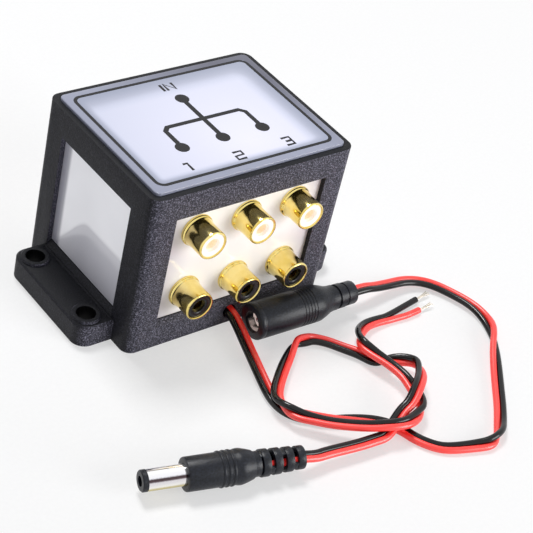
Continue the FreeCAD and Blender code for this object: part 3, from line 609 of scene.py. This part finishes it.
# exits in metres; each route point is x, y, z in millimetres, and how far in degrees the red strand
# is rolled round the black one
socketLead = {
    "exit": (0.0006, -0.025, 0.004),
    "route": [
        (0.6, -22.0, 4.0, 0), (0.6, -25.7, 4.1, 0), (0.8, -28.8, 2.8, 0), (-1.6, -36.7, 2.2, 0),
        (-4.7, -46.9, 1.6, 0), (-6.3, -52.4, 1.2, 0), (-7.2, -56.4, 1.1, 0), (-7.0, -60.3, 1.1, 10),
        (-5.4, -63.9, 1.5, 35), (-2.6, -66.8, 1.9, 80), (1.8, -69.0, 1.7, 130), (8.4, -71.8, 1.3, 165),
        (14.1, -75.2, 1.0, 180), (17.4, -79.9, 1.0, 180), (18.6, -84.5, 1.0, 180),
        (21.3, -88.8, 1.0, 180), (24.5, -91.3, 1.0, 180), (31.8, -93.9, 1.2, 190),
        (36.1, -95.4, 1.8, 225), (40.5, -93.6, 1.9, 300), (44.5, -89.9, 1.1, 350),
        (48.7, -85.4, 1.0, 360), (52.9, -80.3, 1.0, 360), (58.1, -74.0, 1.1, 365),
        (63.7, -67.1, 1.6, 400), (67.5, -62.5, 1.9, 455), (70.3, -57.3, 1.4, 520),
        (70.7, -50.6, 1.7, 540), (68.3, -43.1, 1.6, 540), (64.9, -37.1, 1.8, 540),
        (59.1, -33.9, 2.3, 540), (50.6, -33.8, 3.2, 540), (45.7, -34.0, 4.2, 540),
        (41.9, -34.0, 5.3, 540), (36.6, -33.8, 5.2, 540)],
}

plugLead = {
    "exit": (-0.01607, -0.0788, 0.00465),
    "route": [
        (-27.6, -75.7, 4.6, 180), (-21.8, -77.2, 4.6, 180), (-15.8, -78.9, 4.7, 180),
        (-11.7, -79.7, 3.8, 180), (-8.2, -79.6, 3.4, 180), (1.2, -80.9, 3.1, 180),
        (6.0, -81.2, 3.0, 180), (10.1, -81.6, 3.1, 180), (15.2, -79.0, 3.7, 180),
        (19.3, -77.1, 4.5, 180), (22.4, -76.6, 5.6, 180), (27.8, -73.1, 6.8, 185),
        (33.1, -68.9, 5.2, 200), (36.3, -64.1, 3.9, 262), (35.0, -61.1, 3.0, 290),
        (31.7, -59.0, 2.4, 340), (28.0, -57.4, 1.8, 445), (26.1, -53.0, 1.6, 530),
        (23.2, -48.7, 1.4, 540), (20.5, -44.4, 1.3, 540), (17.3, -41.9, 1.5, 535),
        (14.9, -41.7, 1.7, 500), (11.6, -41.3, 1.9, 440), (6.1, -45.4, 2.0, 385),
        (0.9, -49.4, 2.5, 362), (-5.1, -54.6, 3.1, 360), (-8.0, -58.2, 3.6, 345),
        (-8.5, -62.0, 4.1, 290), (-7.2, -66.0, 4.1, 215), (-4.0, -69.1, 3.9, 185),
        (-0.5, -72.8, 4.2, 180), (6.1, -77.8, 4.9, 180), (11.7, -80.8, 5.6, 180),
        (16.6, -82.0, 5.4, 190), (21.7, -80.5, 4.4, 225), (26.2, -78.0, 4.0, 300),
        (28.9, -69.1, 3.8, 355), (29.2, -65.2, 3.9, 360), (28.1, -60.3, 4.2, 360),
        (26.7, -56.1, 4.5, 340), (25.8, -51.7, 4.9, 290), (28.1, -48.3, 3.8, 240),
        (32.3, -45.1, 2.4, 190), (37.2, -43.5, 1.6, 180), (43.4, -43.7, 0.9, 180)],
}


def smoothLine(points):
    # the points of a NURBS spline that has the given ones as its controls
    curve = bpy.data.curves.new("route", "CURVE")
    curve.dimensions = "3D"
    spline = curve.splines.new("NURBS")
    spline.points.add(len(points) - 1)
    for place, point in zip(spline.points, points):
        place.co = (point[0], point[1], point[2], 1.0)
    spline.order_u = 3
    spline.use_endpoint_u = True
    curve.resolution_u = 10
    holder = bpy.data.objects.new("route", curve)
    bpy.context.collection.objects.link(holder)
    bpy.context.view_layer.update()
    line = bpy.data.meshes.new_from_object(holder)
    found = [vertex.co.copy() for vertex in line.vertices]
    bpy.data.objects.remove(holder)
    bpy.data.curves.remove(curve)
    bpy.data.meshes.remove(line)
    return found


def lineFrames(points):
    # heading, left and up at each point
    frames = []
    for index, point in enumerate(points):
        heading = (points[min(index + 1, len(points) - 1)] - points[max(index - 1, 0)]).normalized()
        left = Vector((0, 0, 1)).cross(heading).normalized()
        frames.append((heading, left, heading.cross(left)))
    return frames


def addTube(tube, points, radius, sides):
    # tube gathers corners, faces and the place of each face's corners round and along the strand
    verts, faces, turns = tube
    start, girth, along = len(verts), 2 * math.pi * radius, [0.0]
    for index, (point, (heading, left, up)) in enumerate(zip(points, lineFrames(points))):
        following = points[min(index + 1, len(points) - 1)]
        along.append(along[-1] + (following - point).length / girth)
        for k in range(sides):
            angle = 2 * math.pi * k / sides
            verts.append(point + (left * math.cos(angle) + up * math.sin(angle)) * radius)
    for ring in range(len(points) - 1):
        for k in range(sides):
            a = start + ring * sides + k
            b = start + ring * sides + (k + 1) % sides
            faces.append((a, b, b + sides, a + sides))
            low, high = k / sides, (k + 1) / sides
            near, far = along[ring], along[ring + 1]
            turns.append(((low, near), (high, near), (high, far), (low, far)))
    firstCap = tuple(start + k for k in reversed(range(sides)))
    lastCap = tuple(len(verts) - sides + k for k in range(sides))
    for cap in (firstCap, lastCap):
        faces.append(cap)
        turns.append(((0.0, 0.0),) * sides)


def addStrand(tube, points):
    addTube(tube, points, strandSettings["radius"] * mm, strandSettings["sides"])


def meshPiece(name, tube):
    verts, faces, turns = tube
    mesh = bpy.data.meshes.new(name)
    mesh.from_pydata(verts, [], faces)
    layer = mesh.uv_layers.new(name="strand")
    corners = [corner for face in turns for corner in face]
    for place, corner in zip(layer.data, corners):
        place.uv = corner
    piece = bpy.data.objects.new(name, mesh)
    bpy.context.collection.objects.link(piece)
    smoothByAngle(piece, 50)
    return piece


def buildTwinLead(name, settings):
    # two strands side by side, which roll over each other along the way
    centre = smoothLine([[v * mm for v in point[:3]] for point in settings["route"]])
    rolls = [point.x / mm for point in smoothLine([(p[3] * mm, 0, 0) for p in settings["route"]])]
    offset = strandSettings["spacing"] * mm
    red, black = [], []
    for point, (heading, left, up), roll in zip(centre, lineFrames(centre), rolls):
        turn = math.radians(roll)
        aside = (left * math.cos(turn) + up * math.sin(turn)) * offset
        red.append(point + aside)
        black.append(point - aside)
    tube = [], [], []
    addStrand(tube, red)
    redFaces = len(tube[1])
    addStrand(tube, black)
    piece = meshPiece(name, tube)
    piece.data.materials.append(redVinyl)
    piece.data.materials.append(blackVinyl)
    for face in piece.data.polygons:
        face.material_index = 0 if face.index < redFaces else 1
    length = sum((b - a).length for a, b in zip(centre, centre[1:]))
    print(name, "length %.1f mm" % (length / mm))
    return piece, centre, red, black


socketTwin, socketPath, socketRed, socketBlack = buildTwinLead("socketTwinLead", socketLead)
plugTwin, plugPath, plugRed, plugBlack = buildTwinLead("plugTwinLead", plugLead)
finishPiece(socketTwin, None, "cord_vinyl", ("socket_lead",))
finishPiece(plugTwin, None, "cord_vinyl", ("plug_lead",))

tailSettings = {
    # the split ends go on from the two strands: route points in millimetres
    "blackTail": [(47.8, -42.3, 1.0), (51.2, -41.7, 1.0), (56.9, -40.8, 1.0)],
    "redTail": [(46.8, -44.9, 1.0), (50.0, -45.2, 1.0), (54.6, -44.8, 1.0)],
    # each bare wire's place in its strand, to the left and up, in millimetres
    "wires": [(0.00, 0.00), (0.20, 0.10), (-0.18, 0.14), (0.06, -0.20), (-0.16, -0.12), (0.22, -0.10),
              (0.02, 0.22)],
    "wireRadius": 0.11, "wireSides": 8, "bareLength": 6.4, "shortening": 0.35, "rootDepth": 0.6,
    # how many times its own place a wire's end spreads and lifts
    "spread": 2.4, "lift": 1.2, "mostLift": 0.1,
}


def buildTail(name, start, vinyl, node):
    points = smoothLine([start[-2], start[-1]] + [Vector(p) * mm for p in tailSettings[name]])
    tube = [], [], []
    addStrand(tube, points)
    tail = meshPiece(name, tube)
    finishPiece(tail, vinyl, "black_wire" if vinyl is blackVinyl else "red_wire", (node,))
    return tail, points[-1], (points[-1] - points[-3]).normalized()


def buildBareWires(ends):
    # stripped strands, which spread and curl a little past the cut vinyl
    values = tailSettings
    tube = [], [], []
    for end, heading in ends:
        left = Vector((0, 0, 1)).cross(heading).normalized()
        up = heading.cross(left)
        for index, (side, rise) in enumerate(values["wires"]):
            length = (values["bareLength"] - values["shortening"] * (index % 4)) * mm
            root = end + (left * side + up * rise) * mm - heading * values["rootDepth"] * mm
            bend = (left * side * values["spread"] + up * min(rise, values["mostLift"]) * values["lift"]) * mm
            points = smoothLine([root, root + heading * length * 0.35,
                                 root + heading * length * 0.7 + bend * 0.4, root + heading * length + bend])
            addTube(tube, points, values["wireRadius"] * mm, values["wireSides"])
    wires = meshPiece("bareWires", tube)
    return finishPiece(wires, tinnedCopper, "bare_copper", ("bare_strands",))


blackTail, blackEnd, blackHeading = buildTail("blackTail", plugBlack, blackVinyl, "black_tail")
redTail, redEnd, redHeading = buildTail("redTail", plugRed, redVinyl, "red_tail")
bareWires = buildBareWires([(blackEnd, blackHeading), (redEnd, redHeading)])
print("leads laid")


socketSettings = {
    # where the middle of its mouth lies, in millimetres, and which way it runs, in degrees
    "mouth": (2.6, -32.4, 5.25), "heading": -2.35,
    # along the axis from the mouth: (distance, radius) in millimetres
    "front": [(10.5, 3.34), (0.86, 3.34), (0.86, 3.08), (0.12, 2.98), (0.0, 3.1), (0.0, 4.75),
              (0.12, 5.02), (0.45, 5.22), (1.3, 5.25), (1.45, 5.17), (1.75, 5.17), (1.9, 5.25)],
    "ribStart": 14.2, "ribPitch": 1.0, "ribCount": 5, "ribRadius": 5.25, "ribHeight": -0.16,
    "ribProfile": [(0.0, 0), (0.14, 1), (0.40, 1), (0.54, 0)],
    "back": [(20.6, 5.25), (21.4, 5.16), (23.1, 4.62), (25.0, 3.88), (26.4, 3.62), (27.6, 3.6),
             (27.75, 3.1), (28.45, 3.1), (28.6, 3.5), (30.45, 3.5), (30.6, 3.1), (31.3, 3.1), (31.45, 3.35),
             (33.9, 3.35), (34.3, 3.2), (34.5, 2.9), (34.5, 2.0), (33.5, 1.9), (33.5, 0.0)],
    # the spring leaf's own profile, and how far past the middle its ring is cut away
    "leaf": [(2.8, 3.10), (2.9, 2.92), (3.2, 2.80), (4.0, 2.74), (4.8, 2.80), (5.4, 3.10)],
    "leafCut": 0.4,
}

plugSettings = {
    "tip": (-57.2, -67.7, 4.65), "heading": -15.1,
    "front": [(15.2, 0.0), (15.2, 2.6), (11.45, 2.6), (11.2, 2.85), (11.2, 4.0), (11.3, 4.2),
              (11.6, 4.3), (20.2, 4.33)],
    "ribStart": 19.9, "ribPitch": 1.35, "ribCount": 3, "ribRadius": 4.34, "ribHeight": 0.26,
    "ribProfile": [(0.0, 0), (0.18, 0.8), (0.40, 1), (0.62, 0.8), (0.80, 0)],
    "back": [(24.2, 4.40), (24.6, 4.50), (25.2, 4.56), (25.9, 4.50), (27.2, 4.16), (28.4, 3.78),
             (28.8, 3.64), (28.95, 3.22), (30.4, 3.2), (30.6, 3.1), (30.6, 0.0)],
    # the slotted relief: rings on the lead, tied together by small webs
    "reliefFrom": 30.6, "reliefStart": 30.9, "reliefPitch": 3.2, "reliefRing": 2.1,
    "reliefRadii": (3.5, 3.33, 3.17, 3.0), "reliefBore": 2.1, "reliefEdge": (0.2, 0.06),
    "web": 1.8, "webOverlap": 0.5, "webBevel": 0.12,
}


def turnGrip(name, values):
    rings = values["front"] + ribRings(values) + values["back"]
    return turnPiece(name, rings, steps=80, closed=False)


def buildSocketGrip():
    grip = turnGrip("socketGrip", socketSettings)
    layAlong(grip, socketSettings["mouth"], socketSettings["heading"])
    return finishPiece(grip, softPvc, "socket_plastic", ("socket_body",))


def buildContactLeaf():
    # the spring leaf that bows into the bore from the rear: a turned ring with its front cut away
    values = socketSettings
    leaf = turnPiece("contactLeaf", values["leaf"])
    startEdit(leaf)
    bpy.ops.mesh.bisect(plane_co=(0, values["leafCut"] * mm, 0), plane_no=(0, -1, 0), use_fill=True,
                        clear_outer=True)
    endEdit(leaf)
    layAlong(leaf, values["mouth"], values["heading"])
    return finishPiece(leaf, leafNickelPaintedGlint, "nickel_plate")


def buildPlugGrip():
    values = plugSettings
    parts = [turnGrip("plugGrip", values)]
    gapStart, bore = values["reliefFrom"], values["reliefBore"]
    corner, chamfer = values["reliefEdge"]
    for index, radius in enumerate(values["reliefRadii"]):
        start = values["reliefStart"] + index * values["reliefPitch"]
        end = start + values["reliefRing"]
        parts.append(turnPiece("reliefRing", [
            (start, bore), (start, radius - corner), (start + chamfer, radius - chamfer),
            (start + corner, radius), (end - corner, radius), (end - chamfer, radius - chamfer),
            (end, radius - corner), (end, bore)], steps=56))
        # two webs tie each ring to the one before, turned a quarter each time
        for side in (-1, 1):
            deselectAll()
            reach = radius - corner - bore
            bpy.ops.mesh.primitive_cube_add(size=1, location=(0, 0, 0))
            web = bpy.context.object
            web.scale = (reach * mm, values["web"] * mm, (start - gapStart + values["webOverlap"]) * mm)
            web.location = (side * (bore + reach / 2) * mm, 0, (gapStart + start) / 2 * mm)
            applyPlace(web)
            if index % 2:
                web.rotation_euler = (0, 0, math.radians(90))
                applyPlace(web)
            applyModifier(web, "BEVEL", width=values["webBevel"] * mm, segments=2)
            parts.append(web)
        gapStart = end
    grip = joinPieces(parts, "plugGrip")
    layAlong(grip, values["tip"], values["heading"])
    smoothByAngle(grip)
    return finishPiece(grip, softPvc, "plug_plastic", ("plug_body",))


socketGrip = buildSocketGrip()
contactLeaf = buildContactLeaf()
plugGrip = buildPlugGrip()
print("socket and plug turned")


housingSettings = {
    "bevel": 0.28, "coverBevel": 0.2,
    # the ears' bores, which take the painted bore shade, in millimetres from the middle of the block
    "earsFrom": 34, "boreX": 38.1, "boreY": 12.8, "boreReach": 3.0, "uprightUnder": 0.5,
}


def buildHousing():
    values = housingSettings
    housing = finishPiece(mergedCopy("housing", "mouldedHousing", values["bevel"], 3), sandTexturedAbsPaintedLight,
                          "housing_plastic", ("housing",))
    housing.data.materials.append(paintedBoreShadeAbs)
    # the upright faces inside the ears' bores take the painted bore shade
    for face in housing.data.polygons:
        x, y = abs(face.center.x / mm), abs(face.center.y / mm)
        inBore = math.hypot(x - values["boreX"], y - values["boreY"]) < values["boreReach"]
        if x > values["earsFrom"] and inBore and abs(face.normal.z) < values["uprightUnder"]:
            face.material_index = 1
    finishPiece(mergedCopy("bottom_cover", "bottomCover", values["coverBevel"], 2), sandTexturedAbsPaintedLight,
                "housing_plastic", ("bottom_cover",))


buildHousing()

topPlateSettings = {
    "width": 61.0, "depth": 46.0, "bottom": 47.8, "top": 50.8, "radius": 1.5, "edge": 0.28,
    "borderInset": 2.5, "borderRadius": 2.2, "borderWidth": 1.0, "inkThickness": 0.02,
}


def buildTopPlate():
    values = topPlateSettings
    deselectAll()
    bpy.ops.mesh.primitive_cube_add(size=1, location=(0, 0, (values["top"] + values["bottom"]) / 2 * mm))
    plate = bpy.context.object
    plate.name = "litTopPlate"
    plate.scale = (values["width"] * mm, values["depth"] * mm, (values["top"] - values["bottom"]) * mm)
    applyPlace(plate)
    # first the four upright corners, then the edges of its face
    selectWhere(plate, "EDGE", lambda a, b: abs(a.z - b.z) > mm)
    bpy.ops.mesh.bevel(offset=values["radius"] * mm, segments=12, affect="EDGES")
    selectWhere(plate, "EDGE", lambda a, b: min(a.z, b.z) > (values["top"] - 0.01) * mm)
    bpy.ops.mesh.bevel(offset=values["edge"] * mm, segments=3, affect="EDGES")
    setMode("OBJECT")
    smoothByAngle(plate, 40)
    return finishPiece(plate, opalTop, "opal_acrylic", ("top_plate",))


def inkLine(name, strokes, width, closed=False):
    # flat printed strokes on the top plate: round-ended lines pressed thin; points in millimetres
    curve = bpy.data.curves.new(name, "CURVE")
    curve.dimensions = "3D"
    for stroke in strokes:
        spline = curve.splines.new("POLY")
        spline.points.add(len(stroke) - 1)
        for place, (x, y) in zip(spline.points, stroke):
            place.co = (x * mm, y * mm, 0, 1)
        spline.use_cyclic_u = closed
    curve.bevel_depth = width / 2 * mm
    curve.bevel_resolution = 2
    curve.use_fill_caps = True
    piece = bpy.data.objects.new(name, curve)
    bpy.context.collection.objects.link(piece)
    makeActive(piece)
    bpy.ops.object.convert(target="MESH")
    piece = bpy.context.object
    piece.scale = (1, 1, topPlateSettings["inkThickness"] / width)
    piece.location = (0, 0, topPlateSettings["top"] * mm)
    applyPlace(piece)
    return piece


def roundedLoop(halfX, halfY, radius):
    loop, cornerSteps = [], 8
    for x, y, first in ((1, 1, 0), (-1, 1, 90), (-1, -1, 180), (1, -1, 270)):
        for step in range(cornerSteps + 1):
            angle = math.radians(first + step * 90 / cornerSteps)
            loop.append((x * (halfX - radius) + radius * math.cos(angle),
                         y * (halfY - radius) + radius * math.sin(angle)))
    return loop


printSettings = {
    # plain stroke figures, one unit high and about as wide, and where each one stands in millimetres
    "figures": {
        "1": [[(-0.30, 1.0), (0.12, 1.0), (0.12, 0.0)]],
        "2": [[(-0.42, 1.0), (0.42, 1.0), (0.42, 0.52), (-0.42, 0.48), (-0.42, 0.0), (0.42, 0.0)]],
        "3": [[(-0.42, 1.0), (0.42, 1.0), (0.42, 0.0), (-0.42, 0.0)], [(-0.22, 0.5), (0.42, 0.5)]],
        "in": [[(-0.62, 0.0), (-0.62, 1.0)], [(-0.24, 0.0), (-0.24, 1.0), (0.56, 0.0), (0.56, 1.0)]],
    },
    "places": {"1": (-16.3, -16.4), "2": (-0.7, -17.0), "3": (15.6, -16.5), "in": (-0.4, 16.3)},
    "figureHeight": 3.1, "figureWidth": 0.82,
    # a plain diagram of one line that parts into three, in the middle of the plate
    "branches": [[(0.0, 10.2), (0.0, 3.4)],
                 [(-13.0, -8.6), (-13.0, -1.0), (-11.6, 0.4), (11.6, 0.4), (13.0, -1.0), (13.0, -8.6)],
                 [(0.0, 3.4), (0.0, -8.6)]],
    "branchEnds": ((0.0, 10.2), (-13.0, -8.6), (0.0, -8.6), (13.0, -8.6)),
    "branchWidth": 1.5, "dotRadius": 1.0, "dotWidth": 2.0,
}


def buildPrinting():
    plate, values = topPlateSettings, printSettings
    prints = [inkLine("borderLine", [roundedLoop(
        plate["width"] / 2 - plate["borderInset"], plate["depth"] / 2 - plate["borderInset"],
        plate["borderRadius"])], plate["borderWidth"], closed=True)]
    size, dot = values["figureHeight"], values["dotRadius"]
    for figure, strokes in values["figures"].items():
        x0, y0 = values["places"][figure]
        placed = [[(x0 + x * size, y0 + (y - 0.5) * size) for x, y in stroke] for stroke in strokes]
        prints.append(inkLine("figure", placed, values["figureWidth"]))
    prints.append(inkLine("branchDiagram", values["branches"], values["branchWidth"]))
    for x, y in values["branchEnds"]:
        ring = [(x + dx, y + dy) for dx, dy in roundedLoop(dot, dot, dot)]
        prints.append(inkLine("branchEnd", [ring], values["dotWidth"], closed=True))
    printing = joinPieces(prints, "platePrinting")
    smoothByAngle(printing, 60)
    return finishPiece(printing, screenInk, "opal_acrylic")


buildTopPlate()
buildPrinting()
print("housing and top plate ready")


jackSettings = {
    # outwards from the panel's face: (distance, radius) in millimetres
    "shell": [(-4.8, 3.55), (-4.8, 3.9), (-4.7, 4.0), (0.0, 4.0), (0.0, 4.62), (0.1, 4.73), (0.3, 4.75),
              (0.55, 4.73), (0.75, 4.66), (0.9, 4.54), (1.0, 4.42), (1.15, 4.36), (1.6, 4.3), (2.4, 4.22),
              (3.3, 4.16), (3.6, 4.15), (7.15, 4.15), (7.4, 4.12), (7.6, 4.02), (7.7, 3.86), (7.68, 3.7),
              (7.58, 3.6), (7.4, 3.55)],
    "insert": [(-5.2, 1.95), (-5.2, 3.5), (7.25, 3.5), (7.33, 3.42), (7.35, 3.3), (7.35, 2.25), (7.3, 2.1),
               (7.1, 1.95)],
    "face": 23.5, "columns": (-16.0, 0.0, 16.0), "rows": {"Upper": 36.05, "Lower": 15.85},
}


def buildJacks():
    values = jackSettings
    shell = turnPiece("jackShell", values["shell"], steps=96)
    insert = turnPiece("jackInsert", values["insert"], steps=72)
    inserts = {"Upper": (litPolypropylene, "white_insert"), "Lower": (blackPolypropylene, "black_insert")}
    places = [("out%d" % (index + 1), x, -1) for index, x in enumerate(values["columns"])] + [("in", 0.0, 1)]
    for start, x, side in places:
        for row, z in values["rows"].items():
            location = (x * mm, side * values["face"] * mm, z * mm)
            rotation = (math.radians(-90 * side), 0, 0)
            name, node = start + row, start + "_" + row.lower()
            finishPiece(copyPiece(shell, name + "Shell", location, rotation), goldPlate, "gold_plate",
                        (node + "_shell",))
            finishPiece(copyPiece(insert, name + "Insert", location, rotation), *inserts[row],
                        (node + "_insert",))
    for pattern in (shell, insert):
        bpy.data.objects.remove(pattern)


buildJacks()
print("jacks placed")


screwSettings = {
    "places": [(sx * 27.2, sy * 19.8) for sx in (-1, 1) for sy in (-1, 1)], "sunk": 0.22,
    "head": [(0.0, 1.2), (0.0, 2.3), (0.08, 2.45), (0.25, 2.5), (1.4, 1.5), (2.4, 1.2), (2.4, 0.0)],
    # the driver's recess: the ring of points that it starts from, its depth, and its taper
    "recessWithin": 1.25, "recessDepth": 0.9, "recessTaper": 0.35,
}


def buildScrews():
    values = screwSettings
    head = turnPiece("screwHead", values["head"], steps=40, closed=False)
    selectWhere(head, "VERT", lambda place: place.z < 0.01 * mm and
                place.xy.length < values["recessWithin"] * mm)
    depth, taper = values["recessDepth"] * mm, values["recessTaper"]
    bpy.ops.mesh.extrude_region_move(TRANSFORM_OT_translate={"value": (0, 0, depth)})
    bpy.ops.transform.resize(value=(taper, taper, 1), center_override=(0, 0, depth))
    bpy.ops.mesh.edge_face_add()
    endEdit(head)
    screws = [copyPiece(head, "coverScrew", (x * mm, y * mm, values["sunk"] * mm), (0, 0, 0))
              for x, y in values["places"]]
    bpy.data.objects.remove(head)
    return finishPiece(joinPieces(screws, "coverScrews"), nickelPlate, "nickel_plate")


buildScrews()
print("screws placed")


nodeFinishes = {
    "front_panel": opalFront, "rear_panel": opalFront, "left_panel": opalSide, "right_panel": opalPlain,
    "jack_nuts": nickelPlate, "ground_bus": tinnedCopper, "ground_lead": blackVinyl,
    "signal_board": maskedFibreboard, "left_signal_lead": whiteVinyl, "right_signal_lead": redVinyl,
    "led_board": maskedFibreboard, "leds": ledPackage, "black_power_wire": blackVinyl,
    "red_power_wire": redVinyl, "cord_tie": tieNylon, "socket_sleeve": nickelPlate,
    "socket_pin": nickelPlate, "plug_barrel": barrelNickelPaintedReflection, "plug_insulator": softPvc,
    "plug_contact": drawnBrass,
}
for name in nodes:
    if name.endswith("_contact") and name != "plug_contact":
        nodeFinishes[name] = litGoldPlate if "upper" in name else goldPlate
for name, material in nodeFinishes.items():
    for slot in nodes[name].material_slots:
        slot.material = material
print("finishes set on", len(nodeFinishes), "nodes")
